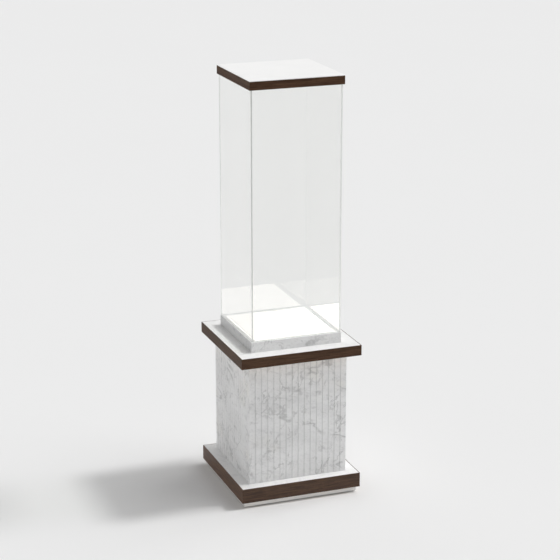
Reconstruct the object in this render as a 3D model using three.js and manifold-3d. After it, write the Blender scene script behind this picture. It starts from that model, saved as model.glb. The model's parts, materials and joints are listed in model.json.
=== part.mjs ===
// Display plinth with a lit stand and a glass case. Millimetres, +Z up, -Y is the front.
// The origin is on the floor, on the upright axis of the plinth.

import * as THREE from "three";
import { mergeVertices } from "three/addons/utils/BufferGeometryUtils.js";
import Module from "manifold-3d";

const wasm = await Module();
wasm.setup();

// Outer widths of the square stages.
const BASE_WIDTH = 500;
const SKIRT_WIDTH = 475;
const COLUMN_WIDTH = 410;
const LEDGE_WIDTH = 500;
const RISER_WIDTH = 376;
const GLASS_WIDTH = 371;
const LID_WIDTH = 384;

// Heights above the floor.
const SKIRT_BOTTOM = 4;
const BASE_BOTTOM = 24;
const BASE_TOP = 83;
const LEDGE_BOTTOM = 583;
const LEDGE_TOP = 625;
const RISER_TOP = 667;
const LID_BOTTOM = 1657;
const LID_BAND_TOP = 1690;
const LID_TOP = 1693;

// Thicknesses.
const BAND = 3;
const SLAB = 20;
const SKIRT = 18;
const PANEL = 20;
const COLUMN_CORE = 15;
const RISER_WALL = 22;
const GLASS = 6;
const SEAL_HEIGHT = 1;
const SEAL_WIDTH = 8;

// Flutes of the column: equal strips parted by narrow grooves.
const STRIPS = 16;
const GROOVE_WIDTH = 4;
const GROOVE_DEPTH = 2.4;

// Levelling feet.
const FOOT_REACH = 186;
const FOOT_CORNERS = {
  front_left: [-FOOT_REACH, -FOOT_REACH],
  front_right: [FOOT_REACH, -FOOT_REACH],
  back_right: [FOOT_REACH, FOOT_REACH],
  back_left: [-FOOT_REACH, FOOT_REACH],
};
const FOOT_RADIUS = 17;
const STUD_RADIUS = 4;
const STUD_TOP = 49;
const NUT_RADIUS = 9;
const NUT_HEIGHT = 14;
const THREAD_CLEARANCE = 0.3;

// Lit stand.
const TRAY_WIDTH = 331;
const TRAY_FLOOR = 2;
const TRAY_WALL = 1.5;
const TRAY_LIP = 12;
const DIFFUSER_WIDTH = 330;
const DIFFUSER = 8;
const REST_GAP = 0.3;
const BOARD_WIDTH = 292;
const BOARD = 1.6;
const LED_ROWS = 7;
const LED_PITCH = 40;
const LED_WIDTH = 5;
const LED_HEIGHT = 1.4;

// Wiring.
const CABLE_HOLE_RADIUS = 8;
const CABLE_HOLE_Y = 157;
const DRIVER = [150, 44, 28];
const DRIVER_Y = 110;
const DRIVER_LUG = 12;
const MAINS_CABLE_RADIUS = 3.5;
const LED_CABLE_RADIUS = 2.2;

// Power inlet with its switch, at the back of the column.
const INLET_Z = 158;
const INLET_BODY = [27, 48];
const INLET_FLANGE = [36, 60];
const INLET_FLANGE_DEPTH = 3;
const INLET_FIT = 0.3;
const SOCKET_Z = INLET_Z - 11;
const SOCKET_SIZE = [24, 17];
const SOCKET_BEVEL = 5;
const SOCKET_DEPTH = 16;
const PIN = [2, 14, 4];
const PIN_PITCH = 7;
const EARTH_PIN_RISE = 4;
const LIVE_PIN_DROP = 1.9;
const SWITCH_Z = INLET_Z + 14;
const SWITCH_WELL = [14, 20.8];
const SWITCH_WELL_DEPTH = 13;
const ROCKER_WIDTH = 13.2;
const ROCKER_HALF = 9;
const ROCKER_PIVOT_DEPTH = 3;
const ROCKER_TILT = 7;

// Groove in the underside of the lid that takes the top edges of the glass.
const LID_GROOVE_DEPTH = 10;
const LID_GROOVE_SLACK = 0.7;

const SIDES = ["front", "right", "back", "left"];

function material(colour, roughness, metalness = 0, extra = {}) {
  return new THREE.MeshStandardMaterial({ color: colour, roughness, metalness, ...extra });
}

const WHITE_MARBLE = material(0xeceae6, 0.3);
const GREY_MARBLE = material(0xe2e2e1, 0.4);
const WALNUT = material(0x473429, 0.45);
const PLYWOOD = material(0xc9a878, 0.7);
const PALE_PAINT = material(0xeeedeb, 0.6);
const STEEL = material(0x9a9b9d, 0.35, 1);
const BRASS = material(0xb9964a, 0.3, 1);
const ALUMINIUM = material(0xc8cacc, 0.35, 1);
const BOARD_WHITE = material(0xf2f2ee, 0.6);
const OPAL = material(0xfffdf8, 0.5, 0, { emissive: 0xfff6e6 });
const BLACK_PLASTIC = material(0x1c1c1e, 0.45);
const PALE_PLASTIC = material(0xd8d8d4, 0.5);
const CABLE_GREY = material(0x55575a, 0.6);
const CLEAR_GLASS = material(0xe6efec, 0.03, 0, { transparent: true, opacity: 0.25 });
const CLEAR_SEAL = material(0xd9dedc, 0.5);
const WHITE_SHEET = material(0xf4f2ee, 0.35);

const root = new THREE.Group();

function addMesh(name, geometry, meshMaterial) {
  const mesh = new THREE.Mesh(geometry, meshMaterial);
  mesh.name = name;
  root.add(mesh);
  return mesh;
}

// Joins vertices that lie together, so that booleans see one closed surface.
function solid(geometry) {
  const source = geometry.index ? geometry.toNonIndexed() : geometry.clone();
  source.deleteAttribute("normal");
  source.deleteAttribute("uv");
  const merged = mergeVertices(source, 1e-4);
  return new wasm.Manifold(
    new wasm.Mesh({
      numProp: 3,
      vertProperties: merged.attributes.position.array,
      triVerts: new Uint32Array(merged.index.array),
    }),
  );
}

function geometryOf(manifold) {
  const mesh = manifold.getMesh();
  const geometry = new THREE.BufferGeometry();
  geometry.setAttribute("position", new THREE.BufferAttribute(mesh.vertProperties, 3));
  geometry.setIndex(new THREE.BufferAttribute(mesh.triVerts, 1));
  return geometry;
}

function joined(geometries) {
  return geometries.map(solid).reduce((all, next) => all.add(next));
}

function cut(geometry, cutters) {
  const whole = geometry.isBufferGeometry ? solid(geometry) : geometry;
  return geometryOf(cutters.map(solid).reduce((left, cutter) => left.subtract(cutter), whole));
}

// A box given by its lower and upper corners.
function box(low, high) {
  const size = high.map((value, i) => value - low[i]);
  const centre = high.map((value, i) => (value + low[i]) / 2);
  return new THREE.BoxGeometry(...size).translate(...centre);
}

function squareSlab(width, bottom, top) {
  return box([-width / 2, -width / 2, bottom], [width / 2, width / 2, top]);
}

function upright(radius, x, y, bottom, top, segments = 32) {
  const geometry = new THREE.CylinderGeometry(radius, radius, top - bottom, segments);
  geometry.rotateX(Math.PI / 2);
  return geometry.translate(x, y, (bottom + top) / 2);
}

function extruded(points, bottom, top) {
  const shape = new THREE.Shape(points.map(([x, y]) => new THREE.Vector2(x, y)));
  const geometry = new THREE.ExtrudeGeometry(shape, {
    depth: top - bottom,
    bevelEnabled: false,
  });
  return geometry.translate(0, 0, bottom);
}

// Front piece of a square ring, mitred at both ends.
function mitredOutline(width, thickness) {
  const outer = width / 2;
  const inner = outer - thickness;
  return [
    [-outer, -outer],
    [outer, -outer],
    [inner, -inner],
    [-inner, -inner],
  ];
}

// The same outline with round-bottomed flutes along its outer edge.
function flutedOutline(width, thickness) {
  const [start, end, ...inside] = mitredOutline(width, thickness);
  const outline = [start];
  for (let i = 1; i < STRIPS; i += 1) {
    const centre = -width / 2 + (i * width) / STRIPS;
    for (let step = 0; step <= 6; step += 1) {
      const angle = (Math.PI * step) / 6;
      outline.push([
        centre - (GROOVE_WIDTH / 2) * Math.cos(angle),
        -width / 2 + GROOVE_DEPTH * Math.sin(angle),
      ]);
    }
  }
  return [...outline, end, ...inside];
}

// Four copies of a front piece, turned about the upright axis to each side.
function addRing(prefix, geometry, ringMaterial, change = {}) {
  SIDES.forEach((side, i) => {
    const shaped = change[side] ? change[side](geometry) : geometry.clone();
    shaped.rotateZ((i * Math.PI) / 2);
    addMesh(`${prefix}_${side}`, shaped, ringMaterial);
  });
}

function addFeet() {
  const nutTop = BASE_BOTTOM + NUT_HEIGHT;
  const boreRadius = STUD_RADIUS + THREAD_CLEARANCE;
  for (const [corner, [x, y]] of Object.entries(FOOT_CORNERS)) {
    addMesh(`foot_${corner}`, footGeometry().translate(x, y, 0), STEEL);
    const nut = upright(NUT_RADIUS, x, y, BASE_BOTTOM, nutTop, 24);
    const bore = upright(boreRadius, x, y, BASE_BOTTOM - 1, nutTop + 1);
    addMesh(`foot_nut_${corner}`, cut(nut, [bore]), BRASS);
  }
}

// Pad with a bevelled rim and a threaded stud, turned as one.
function footGeometry() {
  const profile = [
    [0, 0],
    [FOOT_RADIUS - 0.8, 0],
    [FOOT_RADIUS, 0.8],
    [FOOT_RADIUS, 4.2],
    [FOOT_RADIUS - 1.5, 5.5],
    [8, 7],
    [6.5, 11],
    [6.5, 16],
    [STUD_RADIUS, 17],
    [STUD_RADIUS, STUD_TOP - 1],
    [STUD_RADIUS - 1, STUD_TOP],
    [0, STUD_TOP],
  ];
  const geometry = new THREE.LatheGeometry(
    profile.map(([r, z]) => new THREE.Vector2(r, z)),
    32,
  );
  return geometry.rotateX(Math.PI / 2);
}

function addBase() {
  const coreTop = BASE_TOP - SLAB;
  const pockets = [];
  for (const [x, y] of Object.values(FOOT_CORNERS)) {
    pockets.push(upright(NUT_RADIUS, x, y, BASE_BOTTOM - 1, BASE_BOTTOM + NUT_HEIGHT, 24));
    pockets.push(upright(STUD_RADIUS + 1, x, y, BASE_BOTTOM - 1, coreTop - 2));
  }
  const inner = BASE_WIDTH - 2 * BAND;
  addMesh("base_core", cut(squareSlab(inner, BASE_BOTTOM, coreTop), pockets), PLYWOOD);
  addMesh("base_slab", squareSlab(inner, coreTop, BASE_TOP), WHITE_MARBLE);
  addRing("base_band", extruded(mitredOutline(BASE_WIDTH, BAND), BASE_BOTTOM, BASE_TOP), WALNUT);
  addRing("skirt", extruded(mitredOutline(SKIRT_WIDTH, SKIRT), SKIRT_BOTTOM, BASE_BOTTOM), PALE_PAINT);
}

// Cut-out for the power inlet in a front piece that is later turned to the back.
function inletCutout(geometry) {
  const halfWidth = INLET_BODY[0] / 2 + INLET_FIT;
  const halfHeight = INLET_BODY[1] / 2 + INLET_FIT;
  const reach = COLUMN_WIDTH / 2;
  const cutter = box(
    [-halfWidth, -reach - 1, INLET_Z - halfHeight],
    [halfWidth, -reach + PANEL + COLUMN_CORE + 1, INLET_Z + halfHeight],
  );
  return cut(geometry, [cutter]);
}

function addColumn() {
  const change = { back: inletCutout };
  const panel = extruded(flutedOutline(COLUMN_WIDTH, PANEL), BASE_TOP, LEDGE_BOTTOM);
  addRing("column_panel", panel, GREY_MARBLE, change);
  const coreOutline = mitredOutline(COLUMN_WIDTH - 2 * PANEL, COLUMN_CORE);
  addRing("column_core", extruded(coreOutline, BASE_TOP, LEDGE_BOTTOM), PLYWOOD, change);
}

function addLedge() {
  const coreTop = LEDGE_TOP - SLAB;
  const inner = LEDGE_WIDTH - 2 * BAND;
  const hole = upright(CABLE_HOLE_RADIUS, 0, CABLE_HOLE_Y, LEDGE_BOTTOM - 1, LEDGE_TOP + 1);
  addMesh("ledge_core", cut(squareSlab(inner, LEDGE_BOTTOM, coreTop), [hole]), PLYWOOD);
  addMesh("ledge_slab", cut(squareSlab(inner, coreTop, LEDGE_TOP), [hole]), WHITE_MARBLE);
  addRing("ledge_band", extruded(mitredOutline(LEDGE_WIDTH, BAND), LEDGE_BOTTOM, LEDGE_TOP), WALNUT);
}

// Shallow tray with an inward lip that carries the diffuser.
function trayGeometry() {
  const top = RISER_TOP - DIFFUSER - REST_GAP;
  const floorTop = LEDGE_TOP + TRAY_FLOOR;
  const inside = TRAY_WIDTH - 2 * TRAY_WALL;
  const mouth = TRAY_WIDTH - 2 * TRAY_LIP;
  return cut(squareSlab(TRAY_WIDTH, LEDGE_TOP, top), [
    squareSlab(inside, floorTop, top - TRAY_WALL),
    squareSlab(mouth, floorTop, top + 1),
    upright(CABLE_HOLE_RADIUS, 0, CABLE_HOLE_Y, LEDGE_TOP - 1, floorTop + 1),
  ]);
}

// Circuit board with rows of light sources and a cable terminal at its back edge.
function boardGeometry() {
  const bottom = LEDGE_TOP + TRAY_FLOOR;
  const top = bottom + BOARD;
  const pieces = [squareSlab(BOARD_WIDTH, bottom, top)];
  const first = (-(LED_ROWS - 1) * LED_PITCH) / 2;
  for (let row = 0; row < LED_ROWS; row += 1) {
    for (let column = 0; column < LED_ROWS; column += 1) {
      const x = first + column * LED_PITCH;
      const y = first + row * LED_PITCH;
      const reach = LED_WIDTH / 2;
      pieces.push(box([x - reach, y - reach, top - 0.5], [x + reach, y + reach, top + LED_HEIGHT]));
    }
  }
  const edge = BOARD_WIDTH / 2;
  pieces.push(box([-6, edge - 12, top - 0.5], [6, edge - 2, top + 8]));
  return geometryOf(joined(pieces));
}

function addLitStand() {
  const wall = mitredOutline(RISER_WIDTH, RISER_WALL);
  addRing("riser_side", extruded(wall, LEDGE_TOP, RISER_TOP), GREY_MARBLE);
  addMesh("led_tray", trayGeometry(), ALUMINIUM);
  addMesh("led_board", boardGeometry(), BOARD_WHITE);
  addMesh("diffuser", squareSlab(DIFFUSER_WIDTH, RISER_TOP - DIFFUSER, RISER_TOP), OPAL);
}

// Round cable along a smooth path, with a straight stretch at each end.
function cableGeometry(points, radius) {
  const [start, ...rest] = points.map(([x, y, z]) => new THREE.Vector3(x, y, z));
  const end = rest.pop();
  const path = new THREE.CurvePath();
  path.add(new THREE.LineCurve3(start, rest[0]));
  path.add(new THREE.CatmullRomCurve3(rest, false, "centripetal"));
  path.add(new THREE.LineCurve3(rest[rest.length - 1], end));
  const section = new THREE.Shape();
  section.absarc(0, 0, radius, 0, 2 * Math.PI);
  return new THREE.ExtrudeGeometry(section, { steps: 70, curveSegments: 6, extrudePath: path });
}

function addDriver() {
  const [length, width, height] = DRIVER;
  const top = LEDGE_BOTTOM;
  const low = DRIVER_Y - width / 2;
  const high = DRIVER_Y + width / 2;
  const body = box([-length / 2, low, top - height], [length / 2, high, top]);
  const reach = length / 2 + DRIVER_LUG;
  const lugs = box([-reach, low + 8, top - 3], [reach, high - 8, top]);
  addMesh("led_driver", geometryOf(joined([body, lugs])), PALE_PLASTIC);
}

function addCables() {
  const driverEnd = DRIVER[0] / 2;
  const driverZ = LEDGE_BOTTOM - 16;
  const inletBack = COLUMN_WIDTH / 2 - PANEL - COLUMN_CORE;
  const mains = [
    [-driverEnd, DRIVER_Y, driverZ],
    [-driverEnd - 18, DRIVER_Y, driverZ],
    [-driverEnd - 32, DRIVER_Y, driverZ - 14],
    [-driverEnd - 34, DRIVER_Y, driverZ - 60],
    [-driverEnd - 12, DRIVER_Y + 6, driverZ - 200],
    [-18, DRIVER_Y + 8, INLET_Z + 70],
    [-2, DRIVER_Y + 18, INLET_Z + 14],
    [0, inletBack - 26, INLET_Z],
    [0, inletBack - 14, INLET_Z],
    [0, inletBack, INLET_Z],
  ];
  addMesh("mains_cable", cableGeometry(mains, MAINS_CABLE_RADIUS), CABLE_GREY);
  const boardTop = LEDGE_TOP + TRAY_FLOOR + BOARD;
  const terminalBack = BOARD_WIDTH / 2 - 2;
  const lead = [
    [driverEnd, DRIVER_Y, driverZ],
    [driverEnd + 16, DRIVER_Y, driverZ],
    [driverEnd + 24, DRIVER_Y + 8, driverZ - 3],
    [driverEnd + 14, DRIVER_Y + 32, driverZ - 7],
    [40, CABLE_HOLE_Y, driverZ - 8],
    [8, CABLE_HOLE_Y, driverZ - 3],
    [0, CABLE_HOLE_Y, LEDGE_BOTTOM + 4],
    [0, CABLE_HOLE_Y, LEDGE_TOP - 2],
    [0, CABLE_HOLE_Y - 1, boardTop + 3],
    [0, terminalBack + 4, boardTop + 5],
    [0, terminalBack, boardTop + 5],
  ];
  addMesh("led_cable", cableGeometry(lead, LED_CABLE_RADIUS), CABLE_GREY);
}

// Extrudes an outline of x and z from one y to another.
function extrudedAlongY(points, near, far) {
  const flat = extruded(points.map(([x, z]) => [x, -z]), near, far);
  return flat.rotateX(-Math.PI / 2);
}

function roundedOutline(width, height, radius, centreZ) {
  const outline = [];
  const quarter = Math.PI / 2;
  const corners = [[1, 1], [-1, 1], [-1, -1], [1, -1]];
  corners.forEach(([sx, sz], i) => {
    for (let step = 0; step <= 4; step += 1) {
      const angle = quarter * (i + step / 4);
      outline.push([
        sx * (width / 2 - radius) + radius * Math.cos(angle),
        centreZ + sz * (height / 2 - radius) + radius * Math.sin(angle),
      ]);
    }
  });
  return outline;
}

// Six-sided socket mouth with two bevelled upper corners.
function socketOutline() {
  const [width, height] = SOCKET_SIZE;
  const [x, low, high] = [width / 2, SOCKET_Z - height / 2, SOCKET_Z + height / 2];
  return [
    [-x, low],
    [x, low],
    [x, high - SOCKET_BEVEL],
    [x - SOCKET_BEVEL, high],
    [-x + SOCKET_BEVEL, high],
    [-x, high - SOCKET_BEVEL],
  ];
}

function pinPlaces() {
  const low = SOCKET_Z - LIVE_PIN_DROP;
  return {
    live: [-PIN_PITCH, low],
    earth: [0, low + EARTH_PIN_RISE],
    neutral: [PIN_PITCH, low],
  };
}

function addInlet() {
  const face = COLUMN_WIDTH / 2;
  const front = face + INLET_FLANGE_DEPTH;
  const back = face - PANEL - COLUMN_CORE;
  const flange = roundedOutline(INLET_FLANGE[0], INLET_FLANGE[1], 3, INLET_Z);
  const body = [
    [-INLET_BODY[0] / 2, back, INLET_Z - INLET_BODY[1] / 2],
    [INLET_BODY[0] / 2, face + 1, INLET_Z + INLET_BODY[1] / 2],
  ];
  const whole = joined([extrudedAlongY(flange, face, front), box(...body)]);
  const well = [
    [-SWITCH_WELL[0] / 2, front - SWITCH_WELL_DEPTH, SWITCH_Z - SWITCH_WELL[1] / 2],
    [SWITCH_WELL[0] / 2, front + 1, SWITCH_Z + SWITCH_WELL[1] / 2],
  ];
  const socket = extrudedAlongY(socketOutline(), front - SOCKET_DEPTH, front + 1);
  addMesh("inlet_housing", cut(whole, [socket, box(...well)]), BLACK_PLASTIC);
  const floor = front - SOCKET_DEPTH;
  for (const [place, [x, z]] of Object.entries(pinPlaces())) {
    const [width, length, height] = PIN;
    const low = [x - width / 2, floor, z - height / 2];
    const high = [x + width / 2, floor + length, z + height / 2];
    addMesh(`inlet_pin_${place}`, box(low, high), BRASS);
  }
}

// Rocker with a hollowed front, rounded behind its pivot and pressed in at its lower end.
function addRocker() {
  const pivotY = COLUMN_WIDTH / 2 + INLET_FLANGE_DEPTH - ROCKER_PIVOT_DEPTH;
  const outline = [
    [5.2, ROCKER_HALF],
    [3.4, 0],
    [5.2, -ROCKER_HALF],
  ];
  for (let step = 0; step <= 8; step += 1) {
    const angle = Math.PI * (1.1 + (0.8 * step) / 8);
    outline.push([(ROCKER_HALF - 0.6) * Math.sin(angle), (ROCKER_HALF - 0.6) * Math.cos(angle)]);
  }
  const geometry = extruded(outline.reverse(), -ROCKER_WIDTH / 2, ROCKER_WIDTH / 2);
  geometry.rotateY(Math.PI / 2);
  geometry.rotateX(Math.PI / 2 + THREE.MathUtils.degToRad(ROCKER_TILT));
  addMesh("rocker_switch", geometry.translate(0, pivotY, SWITCH_Z), BLACK_PLASTIC);
}

function addHood() {
  const bottom = RISER_TOP + REST_GAP;
  const glassTop = LID_BOTTOM + LID_GROOVE_DEPTH - REST_GAP;
  const pane = extruded(mitredOutline(GLASS_WIDTH, GLASS), bottom + SEAL_HEIGHT, glassTop);
  addRing("glass", pane, CLEAR_GLASS);
  const sealInside = GLASS_WIDTH - 2 * SEAL_WIDTH;
  const seal = squareSlab(GLASS_WIDTH, bottom, bottom + SEAL_HEIGHT);
  addMesh("hood_seal", cut(seal, [squareSlab(sealInside, bottom - 1, bottom + 2)]), CLEAR_SEAL);
}

function addLid() {
  const inner = LID_WIDTH - 2 * BAND;
  const grooveTop = LID_BOTTOM + LID_GROOVE_DEPTH;
  const grooveOutside = GLASS_WIDTH + 2 * LID_GROOVE_SLACK;
  const grooveInside = GLASS_WIDTH - 2 * GLASS - 2 * LID_GROOVE_SLACK;
  const tongue = squareSlab(grooveInside, LID_BOTTOM - 2, grooveTop + 1);
  const groove = cut(squareSlab(grooveOutside, LID_BOTTOM - 1, grooveTop), [tongue]);
  addMesh("lid_core", cut(squareSlab(inner, LID_BOTTOM, LID_BAND_TOP), [groove]), PALE_PAINT);
  addRing("lid_band", extruded(mitredOutline(LID_WIDTH, BAND), LID_BOTTOM, LID_BAND_TOP), WALNUT);
  addMesh("lid_sheet", squareSlab(LID_WIDTH, LID_BAND_TOP, LID_TOP), WHITE_SHEET);
}

addFeet();
addBase();
addColumn();
addLedge();
addLitStand();
addDriver();
addCables();
addInlet();
addRocker();
addHood();
addLid();

export default root;
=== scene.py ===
"""Display plinth with a lit stand and a glass case: the looks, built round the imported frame.

Metres, +Z up, -Y is the front. Places and sizes come from the frame's own boxes. Only the grooves
of the flutes and the easing of the edges are set here.
"""

import json
import math

import bmesh
import bpy
from mathutils import Matrix, Vector


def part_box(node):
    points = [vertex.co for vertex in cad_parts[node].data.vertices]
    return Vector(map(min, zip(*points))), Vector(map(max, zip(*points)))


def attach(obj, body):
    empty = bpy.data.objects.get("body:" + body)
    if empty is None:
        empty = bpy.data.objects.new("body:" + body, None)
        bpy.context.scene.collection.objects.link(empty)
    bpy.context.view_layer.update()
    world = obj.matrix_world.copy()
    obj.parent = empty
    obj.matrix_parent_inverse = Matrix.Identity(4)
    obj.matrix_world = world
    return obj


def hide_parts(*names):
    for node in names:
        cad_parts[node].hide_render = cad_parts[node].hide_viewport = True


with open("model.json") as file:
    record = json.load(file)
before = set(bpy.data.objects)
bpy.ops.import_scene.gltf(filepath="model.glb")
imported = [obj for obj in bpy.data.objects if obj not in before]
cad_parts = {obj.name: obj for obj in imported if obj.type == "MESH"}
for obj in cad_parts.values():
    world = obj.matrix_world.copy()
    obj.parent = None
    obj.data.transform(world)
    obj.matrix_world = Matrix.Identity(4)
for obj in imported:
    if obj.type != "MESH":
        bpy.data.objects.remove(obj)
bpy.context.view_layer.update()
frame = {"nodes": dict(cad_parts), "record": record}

MM = 0.001
WHITE = (1.0, 1.0, 1.0, 1.0)
SIDES = ("front", "right", "back", "left")
CORNERS = ("front_left", "front_right", "back_right", "back_left")
BODIES = frame["record"]["behaviour"]["bodies"]
BODY_OF = {node: body for body, nodes in BODIES.items() for node in nodes}

# Ways along a piece's board or slab, for its grain and veins: along it, up or across it, and into it.
PANEL_AXES = ((1, 0, 0), (0, 0, 1), (0, 1, 0))
SLAB_AXES = ((1, 0, 0), (0, 1, 0), (0, 0, 1))

# Column flutes: equal strips parted by narrow round-bottomed grooves.
STRIPS = 16
GROOVE_HALF = 2.0 * MM
GROOVE_DEPTH = 2.4 * MM
GROOVE_LIP = 0.5 * MM

# How far the upper and lower edges are eased, and the size of the upright corners, in millimetres.
EDGES = {
    "skirt": (0.8, 1.0),
    "base_slab": (0.4, 0.6),
    "base_band": (0.5, 0.8),
    "column_panel": (0.6, 1.0),
    "ledge_band": (0.5, 0.8),
    "riser_side": (0.7, 1.0),
    "diffuser": (0.5, 1.0),
    "glass": (0.4, 0.5),
    "lid_band": (0.5, 0.8),
    "lid_sheet": (0.6, 0.8),
}

# Each glass pane stops this far short of its mitre.
PANE_GAP = 0.12 * MM

# Flat steps in the quarter round of an eased edge, and in the round bottom of a groove.
EASE_STEPS = 3
BOWL_STEPS = 8

# Faces meeting at less than the first angle are shaded as one; kept CAD edges sharper than the
# second one are eased.
SMOOTH_BELOW = math.radians(50)
EASE_ABOVE = math.radians(40)

# A pane's faces that look down by more than this rest in the seal, and those that look this
# straight outwards or inwards are its two broad faces.
LOOKS_DOWN = 0.5
LOOKS_ACROSS = 0.9

# Painted light and shade on single slabs and boards: above 1 a side is painted lighter than its stone or
# wood, below 1 darker. It is set so that each side looks as light as on the real object, whose own light
# isn't known.
PAINTED_SIDE_LIGHT = {
    "riser_side_left": 0.77,
    "riser_side_front": 0.98,
    "column_panel_front": 1.02,
    "base_band_left": 1.50,
}

# Painted light on the upper rim of the stand, lighter than its stone, standing in for light from the lit
# panel next to it.
RIM_PAINTED_LIGHT = {"riser_side_front": 1.12, "riser_side_right": 1.12, "riser_side_back": 1.12}
RIM_DEPTH = 0.3 * MM

# Tone of the glass edge at the front left corner, darker than the edges at the other corners.
BOND_TONE = 0.75

# The lit panel's strength, and the share of it that the panel is seen with.
OPAL_STRENGTH = 4.6
OPAL_SEEN = 0.06


# ---------------------------------------------------------------- node trees

class Tree:
    """The node tree of a material or the world, and short calls for its nodes.

    A value given for a socket is a number, a colour or a socket.
    """

    def __init__(self, owner, output):
        owner.use_nodes = True
        self.owner = owner
        self.nodes = owner.node_tree.nodes
        self.links = owner.node_tree.links
        self.nodes.clear()
        self.output = self.node(output)

    def put(self, socket, value):
        if isinstance(value, bpy.types.NodeSocket):
            self.links.new(value, socket)
        else:
            socket.default_value = value

    def node(self, kind, inputs=None, **settings):
        made = self.nodes.new("ShaderNode" + kind)
        for key, value in settings.items():
            setattr(made, key, value)
        for key, value in (inputs or {}).items():
            self.put(made.inputs[key], value)
        return made

    def place(self):
        """Place in the object's own axes."""
        return self.node("TexCoord").outputs["Object"]

    def board(self):
        """Place in the piece's own board or slab: along it, up or across it, and into it."""
        return self.node("Attribute", attribute_name="board").outputs["Vector"]

    def moved(self, vector, scale=(1, 1, 1), turn=0.0, shift=(0, 0, 0)):
        """The vector stretched, turned in its first two axes by some degrees, and shifted."""
        inputs = {
            "Vector": vector,
            "Scale": scale,
            "Rotation": (0.0, 0.0, math.radians(turn)),
            "Location": shift,
        }
        return self.node("Mapping", inputs).outputs["Vector"]

    def noise(self, vector, scale, detail=4.0, roughness=0.5, distortion=0.0, output="Fac"):
        inputs = {
            "Vector": vector,
            "Scale": scale,
            "Detail": detail,
            "Roughness": roughness,
            "Distortion": distortion,
        }
        return self.node("TexNoise", inputs).outputs[output]

    def math(self, operation, first, second=0.0):
        return self.node("Math", {0: first, 1: second}, operation=operation).outputs[0]

    def times(self, first, second):
        return self.math("MULTIPLY", first, second)

    def largest(self, first, *others):
        for other in others:
            first = self.math("MAXIMUM", first, other)
        return first

    def spread(self, value, low, high, to_low=0.0, to_high=1.0):
        """Maps low..high smoothly onto to_low..to_high and holds the ends."""
        inputs = dict(enumerate((value, low, high, to_low, to_high)))
        return self.node("MapRange", inputs, interpolation_type="SMOOTHSTEP").outputs[0]

    def mix(self, factor, first, second):
        return self.node("Mix", {0: factor, 6: first, 7: second}, data_type="RGBA").outputs[2]

    def scaled(self, vector, factor):
        return self.node("VectorMath", {0: vector, "Scale": factor}, operation="SCALE").outputs[0]

    def warped(self, vector, scale, amount, detail=3.0):
        """The vector pushed about by a slow noise."""
        push = self.noise(vector, scale, detail, output="Color")
        centred = self.node("VectorMath", {0: push, 1: (0.5, 0.5, 0.5)}, operation="SUBTRACT").outputs[0]
        inputs = {0: vector, 1: self.scaled(centred, amount)}
        return self.node("VectorMath", inputs, operation="ADD").outputs[0]

    def toned(self, colour):
        """The colour made lighter or darker by the tone stored on the piece: painted light and shade on
        some sides and on the stand's upper rim, and a darker glass edge at one corner.
        """
        return self.scaled(colour, self.node("Attribute", attribute_name="tone").outputs["Fac"])

    def bump(self, height, strength, distance):
        return self.node("Bump", {"Height": height, "Strength": strength, "Distance": distance}).outputs[0]

    def seen(self):
        """1 for what is seen straight or through glass, 0 for mirrored and scattered light."""
        path = self.node("LightPath")
        return self.largest(path.outputs["Is Camera Ray"], path.outputs["Is Transmission Ray"])

    def soft(self):
        """1 for light from lamps and for scattered light, 0 for what is seen or mirrored."""
        path = self.node("LightPath")
        return self.largest(path.outputs["Is Shadow Ray"], path.outputs["Is Diffuse Ray"])

    def blended(self, factor, first, second):
        return self.node("MixShader", {0: factor, 1: first.outputs[0], 2: second.outputs[0]})

    def show(self, shader):
        self.links.new(shader.outputs[0], self.output.inputs["Surface"])
        return self.owner

    def show_principled(self, **inputs):
        named = {key.replace("_", " "): value for key, value in inputs.items()}
        return self.show(self.node("BsdfPrincipled", named))


def material_tree(name):
    return Tree(bpy.data.materials.new(name), "OutputMaterial")


def grey(value, warm=0.0):
    return (value + warm, value, value - warm, 1.0)


def dimmed(colour, share):
    return tuple(share * channel for channel in colour[:3]) + (1.0,)


# ---------------------------------------------------------------- materials

def vein(tree, vector, scale, width):
    """Thin wandering lines: 1 on a line, 0 away from it."""
    value = tree.noise(vector, scale, 5.0, 0.5, 0.3)
    off_line = tree.math("ABSOLUTE", tree.math("SUBTRACT", value, 0.5))
    return tree.spread(off_line, 0.0, width, 1.0, 0.0)


def long_veins(tree, place, flow):
    present = tree.spread(tree.noise(place, 15.0, 4.0, 0.6), 0.46, 0.64, 0.05, 0.9)
    return tree.times(vein(tree, flow, 5.0, 0.034), present)


def vein_net(tree, place):
    """Finer veins across the long ones."""
    across = tree.moved(place, scale=(0.8, 1.7, 1.2), turn=-63)
    lines = tree.times(vein(tree, tree.warped(across, 14.0, 0.04), 9.0, 0.030), 0.5)
    return tree.times(lines, tree.spread(tree.noise(place, 22.0, 3.0), 0.46, 0.64, 0.05, 1.0))


def upright_veins(tree, place):
    upright = tree.moved(tree.warped(place, 24.0, 0.035), scale=(1.0, 0.36, 1.0))
    lines = tree.times(vein(tree, upright, 24.0, 0.036), 0.75)
    return tree.times(lines, tree.spread(tree.noise(place, 13.0, 3.0), 0.45, 0.60))


def smudges(tree, place):
    long = tree.moved(tree.warped(place, 22.0, 0.03), scale=(1.0, 2.8, 2.0))
    return tree.spread(tree.noise(long, 11.0, 6.0, 0.66), 0.60, 0.76)


def specks(tree, place):
    flat = tree.moved(place, scale=(1.0, 1.6, 1.6))
    return tree.spread(tree.noise(flat, 80.0, 5.0, 0.72), 0.46, 0.74, 0.0, 0.36)


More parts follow.
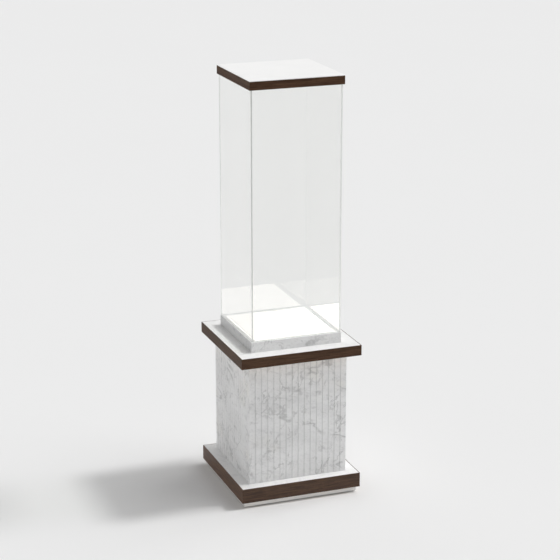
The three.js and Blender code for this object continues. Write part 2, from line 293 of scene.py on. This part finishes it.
def marble(name, light, cloud, line, strength, roughness, shine, shift):
    """Honed marble: pale clouds, veins, short smudges, specks, faint warm stains, a fine grain and painted
    shade in the grooves of the flutes.
    """
    tree = material_tree(name)
    place = tree.moved(tree.board(), turn=14, shift=shift)
    flow = tree.warped(tree.moved(place, scale=(0.7, 1.6, 1.2)), 6.0, 0.08)
    clouds = tree.spread(tree.noise(flow, 7.0, 4.0, 0.55), 0.34, 0.70)
    lines = tree.largest(long_veins(tree, place, flow), vein_net(tree, place), upright_veins(tree, place))
    marks = tree.largest(lines, smudges(tree, place), specks(tree, place))
    stain_noise = tree.noise(tree.moved(place, shift=(3.1, 1.7, 0.4)), 5.0, 3.0)
    stained = (light[0] * 0.97, light[1] * 0.95, light[2] * 0.86, 1.0)
    grain = tree.noise(place, 900.0, 2.0)
    groove_shade = tree.node("Attribute", attribute_name="groove_shade").outputs["Fac"]

    colour = tree.mix(clouds, light, cloud)
    colour = tree.mix(tree.spread(stain_noise, 0.60, 0.78, 0.0, 0.4), colour, stained)
    colour = tree.mix(tree.times(marks, strength), colour, line)
    colour = tree.mix(tree.spread(grain, 0.3, 0.7, 0.0, 0.04), colour, line)
    # Painted shade deep in the grooves of the flutes.
    colour = tree.mix(tree.times(groove_shade, 0.22), colour, line)
    gloss = tree.spread(tree.noise(place, 40.0, 4.0), 0.3, 0.7, roughness - 0.05, roughness + 0.07)
    height = tree.math("ADD", tree.times(marks, -0.6), tree.times(grain, 0.5))
    return tree.show_principled(
        Base_Color=tree.toned(colour),
        Roughness=gloss,
        Normal=tree.bump(height, 0.25, 0.00012),
        Specular_IOR_Level=shine,
    )


def wood(name, tones, roughness, pore_depth, shine):
    """Planed wood in dark, middle and pale tones: growth bands, fine streaks and short pores."""
    dark, middle, pale = tones
    tree = material_tree(name)
    board = tree.board()
    bent = tree.warped(tree.moved(board, scale=(2.2, 6.0, 6.0)), 1.4, 0.5)
    bands = tree.noise(tree.moved(bent, scale=(0.8, 7.0, 7.0)), 3.0, 4.0, 0.55, 0.3)
    streaks = tree.noise(tree.moved(board, scale=(9.0, 420.0, 420.0)), 1.0, 4.0, 0.65)
    dashes = tree.noise(tree.moved(board, scale=(55.0, 1500.0, 1500.0)), 1.0, 2.0, 0.5)
    pores = tree.spread(dashes, 0.60, 0.70)

    colour = tree.mix(tree.spread(bands, 0.34, 0.66), dark, middle)
    colour = tree.mix(tree.spread(streaks, 0.42, 0.72, 0.0, 0.75), colour, pale)
    colour = tree.mix(tree.times(pores, pore_depth), colour, dimmed(dark, 0.35))
    height = tree.math("SUBTRACT", tree.times(streaks, 0.5), pores)
    return tree.show_principled(
        Base_Color=tree.toned(colour),
        Roughness=tree.spread(streaks, 0.3, 0.7, roughness - 0.06, roughness + 0.10),
        Normal=tree.bump(height, 0.35, 0.00015),
        Specular_IOR_Level=shine,
    )


def coating(name, colour, roughness, mottle=0.04, peel=350.0, depth=0.00006, shine=0.5):
    """Paint, laminate or moulded plastic: a slight mottle and a fine orange-peel skin."""
    tree = material_tree(name)
    place = tree.place()
    patches = tree.spread(tree.noise(place, 9.0, 5.0, 0.6), 0.35, 0.7)
    return tree.show_principled(
        Base_Color=tree.mix(patches, colour, dimmed(colour, 1.0 - 2.4 * mottle)),
        Roughness=tree.spread(tree.noise(place, 25.0, 5.0), 0.3, 0.7, roughness - 0.05, roughness + 0.08),
        Normal=tree.bump(tree.noise(place, peel, 3.0, 0.6), 0.3, depth),
        Specular_IOR_Level=shine,
    )


def metal(name, colour, roughness, brush=(6.0, 6.0, 700.0)):
    """Bare metal with fine drawn lines and slight tarnish."""
    tree = material_tree(name)
    place = tree.place()
    lines = tree.noise(tree.moved(place, scale=brush), 1.0, 3.0, 0.6)
    tarnish = tree.spread(tree.noise(place, 60.0, 5.0, 0.6), 0.4, 0.75)
    return tree.show_principled(
        Base_Color=tree.mix(tarnish, colour, dimmed(colour, 0.72)),
        Metallic=1.0,
        Roughness=tree.spread(lines, 0.3, 0.7, roughness - 0.08, roughness + 0.12),
        Normal=tree.bump(lines, 0.25, 0.00004),
    )


def clear(name, tint, roughness=0.0, ior=1.5, bare=0.0):
    """Glass that bends and mirrors what is seen, and lets lamps and scattered light straight through.

    The share given as bare passes every ray straight on, as a bonded joint does.
    """
    tree = material_tree(name)
    smear = tree.noise(tree.place(), 7.0, 4.0)
    inputs = {
        "Base Color": tint,
        "Roughness": tree.spread(smear, 0.45, 0.75, roughness, roughness + 0.012),
        "IOR": ior,
        "Transmission Weight": 1.0,
    }
    glass = tree.node("BsdfPrincipled", inputs)
    through = tree.node("BsdfTransparent", {"Color": tint})
    return tree.show(tree.blended(tree.largest(tree.soft(), bare), glass, through))


def frosted(name, tint, bare):
    """Ground glass edge: scatters most light, and lets lamps and scattered light straight through."""
    tree = material_tree(name)
    grind = tree.noise(tree.place(), 900.0, 3.0)
    tone = tree.toned(tree.mix(tree.spread(grind, 0.3, 0.7), tint, dimmed(tint, 0.96)))
    front = tree.node("BsdfDiffuse", {"Color": tone})
    behind = tree.node("BsdfTranslucent", {"Color": tone})
    milky = tree.blended(0.5, front, behind)
    through = tree.node("BsdfTransparent", {"Color": tint})
    return tree.show(tree.blended(tree.largest(tree.soft(), bare), milky, through))


def opal():
    """Opal acrylic lit from below, with a slow change of tone.

    It is seen a little brighter than white, and it lights and mirrors at its full strength.
    """
    tree = material_tree("opal_acrylic")
    place = tree.place()
    glow = tree.spread(tree.noise(place, 5.0, 3.0), 0.3, 0.7, 0.95, 1.0)
    colour = tree.mix(glow, (0.90, 0.82, 0.72, 1.0), (1.0, 0.95, 0.88, 1.0))
    share = tree.spread(tree.seen(), 0.0, 1.0, 1.0, OPAL_SEEN)
    return tree.show_principled(
        Base_Color=(0.93, 0.92, 0.90, 1.0),
        Roughness=0.38,
        Emission_Color=tree.scaled(colour, share),
        Emission_Strength=OPAL_STRENGTH,
        Normal=tree.bump(tree.noise(place, 420.0, 3.0), 0.2, 0.00004),
    )


def floor_material():
    tree = material_tree("studio_floor")
    tone = tree.mix(tree.noise(tree.place(), 0.6, 3.0), grey(0.845), grey(0.855))
    return tree.show_principled(Base_Color=tone, Roughness=0.9, Specular_IOR_Level=0.1)


WHITE_MARBLE = marble(
    "white_marble",
    light=grey(0.94, 0.003),
    cloud=grey(0.92, 0.003),
    line=grey(0.55),
    strength=0.30,
    roughness=0.40,
    shine=0.2,
    shift=(0.2, 0.1, 0.0),
)
GREY_MARBLE = marble(
    "grey_marble",
    light=grey(0.88),
    cloud=grey(0.80),
    line=grey(0.34),
    strength=0.62,
    roughness=0.42,
    shine=0.4,
    shift=(0.0, 0.0, 0.0),
)

# How much room light the lacquer mirrors on each stage.
WALNUT_SHINE = {"base_band": 0.35, "ledge_band": 0.14, "lid_band": 0.07}
WALNUT_TONES = ((0.046, 0.022, 0.012, 1), (0.080, 0.041, 0.023, 1), (0.130, 0.074, 0.041, 1))
WALNUT = {
    stage: wood(f"walnut_{stage}", WALNUT_TONES, 0.5, 0.8, shine) for stage, shine in WALNUT_SHINE.items()
}
BIRCH_TONES = ((0.45, 0.29, 0.14, 1), (0.58, 0.40, 0.21, 1), (0.66, 0.49, 0.29, 1))
PLYWOOD = wood("birch_plywood", BIRCH_TONES, 0.62, 0.25, 0.3)

PALE_PAINT = coating("pale_paint", (0.91, 0.905, 0.895, 1), 0.5, mottle=0.02, shine=0.3)
WHITE_SHEET = coating(
    "white_laminate", (0.95, 0.948, 0.942, 1), 0.5, mottle=0.008, peel=500.0, shine=0.12
)
BLACK_PLASTIC = coating("black_plastic", (0.014, 0.014, 0.015, 1), 0.5, peel=1400.0, depth=0.00008)
PALE_PLASTIC = coating("pale_plastic", (0.62, 0.62, 0.60, 1), 0.48, peel=900.0)
SHEATH = coating("cable_sheath", (0.075, 0.08, 0.085, 1), 0.55, peel=700.0)
BOARD_MASK = coating("board_mask", (0.86, 0.86, 0.84, 1), 0.45, mottle=0.02, peel=900.0)

STEEL = metal("plated_steel", (0.52, 0.52, 0.53, 1), 0.32)
BRASS = metal("brass", (0.62, 0.42, 0.16, 1), 0.3)
ALUMINIUM = metal("aluminium", (0.70, 0.71, 0.72, 1), 0.36, brush=(500.0, 5.0, 5.0))

GLASS = clear("clear_glass", (0.967, 0.970, 0.9635, 1))
GLASS_EDGE = frosted("glass_edge", (0.90, 0.903, 0.90, 1), bare=0.3)
GLASS_FOOT = clear("bonded_glass_edge", (0.985, 0.99, 0.985, 1), roughness=0.2, bare=0.9)
SEAL = clear("clear_silicone", (0.98, 0.985, 0.98, 1), roughness=0.35, ior=1.41, bare=0.9)
OPAL = opal()


# ---------------------------------------------------------------- mesh pieces

def mark_board(mesh, axes, shift):
    """Stores each point's place along the given axes, for the grain and the veins."""
    rows = mesh.attributes.new("board", "FLOAT_VECTOR", "POINT").data
    for vertex, row in zip(mesh.vertices, rows):
        row.vector = Vector([vertex.co.dot(Vector(axis)) for axis in axes]) + shift


def mark_value(mesh, name, measure):
    """Stores a number worked out from each point's place."""
    rows = mesh.attributes.new(name, "FLOAT", "POINT").data
    for vertex, row in zip(mesh.vertices, rows):
        row.value = measure(vertex.co)


def piece_shift(node):
    """Where in its stone or wood a node is cut from, different for each node."""
    order = list(BODY_OF).index(node)
    return Vector((0.37 * order, 0.61 * (order % 7), 0.23 * (order % 5)))


def shade_softly(piece):
    piece.data.shade_smooth()
    piece.data.set_sharp_from_angle(angle=SMOOTH_BELOW)
    even = piece.modifiers.new("even_shading", "WEIGHTED_NORMAL")
    even.keep_sharp = True


def finish_piece(bm, node, material, turn=0, groove_shade=None, smooth=True, axes=PANEL_AXES):
    """Makes an object from bm, turned by some quarters, in place of a CAD node."""
    bmesh.ops.recalc_face_normals(bm, faces=bm.faces)
    mesh = bpy.data.meshes.new(f"{node}_piece")
    bm.to_mesh(mesh)
    bm.free()
    # Painted light or shade for this side, 1 where none is painted.
    tone = PAINTED_SIDE_LIGHT.get(node, 1.0)
    rim = max(vertex.co.z for vertex in mesh.vertices) - RIM_DEPTH
    mark_board(mesh, axes, piece_shift(node))
    # Points on the top of the stand's rim take the rim's painted light instead.
    mark_value(mesh, "tone", lambda point: RIM_PAINTED_LIGHT.get(node, tone) if point.z > rim else tone)
    if groove_shade:
        mark_value(mesh, "groove_shade", groove_shade)
    mesh.transform(Matrix.Rotation(turn * math.pi / 2, 4, "Z"))
    mesh.materials.append(material)
    piece = bpy.data.objects.new(f"{node}_piece", mesh)
    bpy.context.scene.collection.objects.link(piece)
    if smooth:
        shade_softly(piece)
    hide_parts(node)
    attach(piece, BODY_OF[node])
    return piece


def quarter_turn(steps):
    """Angles from 0 to a quarter turn."""
    return [(math.pi / 2) * step / steps for step in range(steps + 1)]


def loft(bm, rings):
    """Closes a stack of rings, each a list of points of the same count, into one solid."""
    layers = [[bm.verts.new(point) for point in ring] for ring in rings]
    count = len(layers[0])
    for low, high in zip(layers, layers[1:]):
        for i in range(count):
            j = (i + 1) % count
            bm.faces.new((low[i], low[j], high[j], high[i]))
    bm.faces.new(list(reversed(layers[0])))
    bm.faces.new(layers[-1])


def stacked(low, high, ease):
    """Heights and set-backs of a stack with eased lower and upper edges."""
    turns = quarter_turn(EASE_STEPS)
    rows = [(ease * (1 - math.cos(angle)), ease * (1 - math.sin(angle))) for angle in turns]
    below = [(low + up, back) for up, back in rows]
    above = [(high - up, back) for up, back in reversed(rows)]
    return below + above


def fluted_face(half):
    """Outer profile of one fluted panel as (along, into) points between its corners."""
    lip = [
        (GROOVE_HALF + GROOVE_LIP * (1 - math.sin(angle)), GROOVE_LIP * (1 - math.cos(angle)))
        for angle in quarter_turn(EASE_STEPS)[:-1]
    ]
    bowl = [
        (-GROOVE_HALF * math.cos(angle), GROOVE_LIP + (GROOVE_DEPTH - GROOVE_LIP) * math.sin(angle))
        for angle in [math.pi * step / BOWL_STEPS for step in range(BOWL_STEPS + 1)]
    ]
    points = []
    for i in range(1, STRIPS):
        centre = -half + i * 2 * half / STRIPS
        points += [(centre - reach, into) for reach, into in lip]
        points += [(centre + along, into) for along, into in bowl]
        points += [(centre + reach, into) for reach, into in reversed(lip)]
    return points


def ring_piece(prefix, side, material, profile=(), gap=0.0, ease_inside=False, smooth=True):
    """One side of a square ring, mitred at both ends, with eased outer edges.

    Its outer face follows the profile, and its inner edges are eased too where ease_inside is set.
    """
    ease, corner = (size * MM for size in EDGES[prefix])
    low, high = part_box(f"{prefix}_front")
    half = (high.x - low.x) / 2
    inner = -high.y

    # How far into a groove a point lies, for the painted shade in the grooves.
    def groove_share(point):
        deep = point.y + half
        return deep / GROOVE_DEPTH if profile and deep < 2 * GROOVE_DEPTH else 0.0

    rings = []
    for z, back in stacked(low.z, high.z, ease):
        reach = half - back
        inside = inner + (back if ease_inside else 0.0)
        ring = [(-reach + corner / 2 + gap, -reach + corner / 2, z), (-reach + corner + gap, -reach, z)]
        ring += [(along, -reach + into, z) for along, into in profile]
        ring += [(reach - corner - gap, -reach, z), (reach - corner / 2 - gap, -reach + corner / 2, z)]
        ring += [(inside - gap, -inside, z), (-inside + gap, -inside, z)]
        rings.append(ring)
    bm = bmesh.new()
    loft(bm, rings)
    turn = SIDES.index(side)
    return finish_piece(bm, f"{prefix}_{side}", material, turn, groove_share, smooth)


def slab_piece(node, material):
    """A square slab with eased edges and slightly rounded corners."""
    ease, corner = (size * MM for size in EDGES[node])
    low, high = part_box(node)
    rings = []
    for z, back in stacked(low.z, high.z, ease):
        ring = []
        centre = high.x - back - corner
        for quarter, (side_x, side_y) in enumerate(((1, 1), (-1, 1), (-1, -1), (1, -1))):
            for angle in quarter_turn(EASE_STEPS):
                turned = angle + quarter * math.pi / 2
                x = side_x * centre + corner * math.cos(turned)
                y = side_y * centre + corner * math.sin(turned)
                ring.append((x, y, z))
        rings.append(ring)
    bm = bmesh.new()
    loft(bm, rings)
    return finish_piece(bm, node, material, axes=SLAB_AXES)


def pane_piece(side):
    """A glass pane with fine polished arrises; its narrow edges take the edge finish."""
    piece = ring_piece("glass", side, GLASS, gap=PANE_GAP, ease_inside=True, smooth=False)
    piece.data.materials.append(GLASS_EDGE)
    piece.data.materials.append(GLASS_FOOT)
    across = Matrix.Rotation(SIDES.index(side) * math.pi / 2, 3, "Z") @ Vector((0, 1, 0))
    for face in piece.data.polygons:
        if face.normal.z < -LOOKS_DOWN:
            face.material_index = 2
        elif abs(face.normal.dot(across)) < LOOKS_ACROSS:
            face.material_index = 1
    tones = piece.data.attributes["tone"].data
    for vertex, row in zip(piece.data.vertices, tones):
        if vertex.co.x < 0 and vertex.co.y < 0:
            row.value = BOND_TONE


def finish_cad(node, material, ease=0.0):
    """Keeps a CAD node's shape, eases its sharp edges by some millimetres and gives it its finish."""
    thing = frame["nodes"][node]
    thing.data.materials.clear()
    thing.data.materials.append(material)
    if ease:
        bevel = thing.modifiers.new("eased_edges", "BEVEL")
        bevel.width = ease * MM
        bevel.segments = 2
        bevel.limit_method = "ANGLE"
        bevel.angle_limit = EASE_ABOVE


def finish_board(node, material, ease=0.0):
    """Finishes a CAD node of stone or wood, with board coordinates and an even tone."""
    mesh = frame["nodes"][node].data
    mark_board(mesh, PANEL_AXES, Vector())
    mark_value(mesh, "tone", lambda point: 1.0)
    finish_cad(node, material, ease)


# ---------------------------------------------------------------- the object

def build_base():
    slab_piece("base_slab", WHITE_MARBLE)
    for side in SIDES:
        ring_piece("base_band", side, WALNUT["base_band"])
        ring_piece("skirt", side, PALE_PAINT)


def build_column():
    low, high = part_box("column_panel_front")
    profile = fluted_face((high.x - low.x) / 2)
    for side in ("front", "right", "left"):
        ring_piece("column_panel", side, GREY_MARBLE, profile)


def build_ledge():
    for side in SIDES:
        ring_piece("ledge_band", side, WALNUT["ledge_band"])


def build_stand():
    for side in SIDES:
        ring_piece("riser_side", side, GREY_MARBLE, ease_inside=True)
    slab_piece("diffuser", OPAL)


def build_case():
    for side in SIDES:
        pane_piece(side)
        ring_piece("lid_band", side, WALNUT["lid_band"])
    slab_piece("lid_sheet", WHITE_SHEET)


def finish_kept_nodes():
    for side in SIDES:
        finish_board(f"column_core_{side}", PLYWOOD)
    finish_board("base_core", PLYWOOD)
    finish_board("ledge_core", PLYWOOD)
    finish_board("ledge_slab", WHITE_MARBLE, ease=0.3)
    finish_board("column_panel_back", GREY_MARBLE)
    finish_cad("lid_core", PALE_PAINT)
    finish_cad("hood_seal", SEAL)
    finish_cad("led_tray", ALUMINIUM)
    finish_cad("led_board", BOARD_MASK)
    finish_cad("led_driver", PALE_PLASTIC, ease=1.5)
    finish_cad("mains_cable", SHEATH)
    finish_cad("led_cable", SHEATH)
    finish_cad("inlet_housing", BLACK_PLASTIC, ease=0.4)
    finish_cad("rocker_switch", BLACK_PLASTIC, ease=0.4)
    for pin in ("live", "earth", "neutral"):
        finish_cad(f"inlet_pin_{pin}", BRASS, ease=0.3)
    for corner in CORNERS:
        finish_cad(f"foot_{corner}", STEEL)
        finish_cad(f"foot_nut_{corner}", BRASS)


# ---------------------------------------------------------------- studio

# The camera's place, its turn and tilt in radians, its lens in millimetres and how far it sees.
CAMERA_AT = Vector((-2.3766, -6.3645, 2.9114))
CAMERA_TURN = 0.3574
CAMERA_TILT = -0.2948
CAMERA_LENS = 114.8
CAMERA_REACH = 2000.0

# The floor reaches this far each way, so that its edge isn't seen.
FLOOR_REACH = 600.0

# The key light and a very large soft one behind it travel the same way: strength, and spread in degrees.
KEY_TRAVEL = Vector((-0.642, 0.067, -0.7635))
KEY_LAMPS = {"key_light": (1.4, 10), "key_spread": (1.22, 60)}

# Soft room light: the way to the middle of each glow, its height in degrees, its brightness there
# and how fast it fades.
GLOWS = {
    "left": ((-1, 0), 5, 1.09, 4),
    "front": ((0, -1), 5, 0.78, 4),
    "back": ((0, 1), 30, 0.75, 3),
    "right": ((1, 0), 30, 0.20, 3),
}

# The far wall of the studio, seen beyond the floor from a low angle, has the tone of the floor.
WALL_TONE = 0.84


def add_thing(name, data):
    thing = bpy.data.objects.new(name, data)
    bpy.context.scene.collection.objects.link(thing)
    return thing


def aim(thing, way):
    thing.rotation_mode = "QUATERNION"
    thing.rotation_quaternion = way.to_track_quat("-Z", "Y")


def add_camera():
    camera = bpy.data.cameras.new("camera")
    camera.lens = CAMERA_LENS
    camera.clip_end = CAMERA_REACH
    flat = math.cos(CAMERA_TILT)
    gaze = Vector((math.sin(CAMERA_TURN) * flat, math.cos(CAMERA_TURN) * flat, math.sin(CAMERA_TILT)))
    thing = add_thing("camera", camera)
    thing.location = CAMERA_AT
    aim(thing, gaze)
    bpy.context.scene.camera = thing


def add_key_lamps():
    for name, (strength, spread) in KEY_LAMPS.items():
        lamp = bpy.data.lights.new(name, "SUN")
        lamp.energy = strength
        lamp.angle = math.radians(spread)
        aim(add_thing(name, lamp), KEY_TRAVEL)


def add_room_light():
    """A few broad glows round the room, each fading with the angle from its centre."""
    world = bpy.data.worlds.new("studio")
    bpy.context.scene.world = world
    tree = Tree(world, "OutputWorld")
    way = tree.node("TexCoord").outputs["Generated"]
    total = 0.0
    for (x, y), rise, strength, power in GLOWS.values():
        flat = math.cos(math.radians(rise))
        centre = (x * flat, y * flat, math.sin(math.radians(rise)))
        facing = tree.node("VectorMath", {0: way, 1: centre}, operation="DOT_PRODUCT").outputs["Value"]
        fade = tree.math("POWER", tree.largest(facing, 0.0), power)
        total = tree.math("ADD", total, tree.times(fade, strength))
    room = tree.node("Background", {"Color": WHITE, "Strength": total})
    wall = tree.node("Background", {"Color": WHITE, "Strength": WALL_TONE})
    tree.show(tree.blended(tree.seen(), room, wall))


def add_floor():
    mesh = bpy.data.meshes.new("floor")
    corners = [(x * FLOOR_REACH, y * FLOOR_REACH, 0) for x, y in ((-1, -1), (1, -1), (1, 1), (-1, 1))]
    mesh.from_pydata(corners, [], [(0, 1, 2, 3)])
    mesh.materials.append(floor_material())
    thing = add_thing("floor", mesh)


def add_studio():
    add_camera()
    add_key_lamps()
    add_room_light()
    add_floor()
    bpy.context.scene.view_settings.view_transform = "Standard"


add_studio()
build_base()
build_column()
build_ledge()
build_stand()
build_case()
finish_kept_nodes()
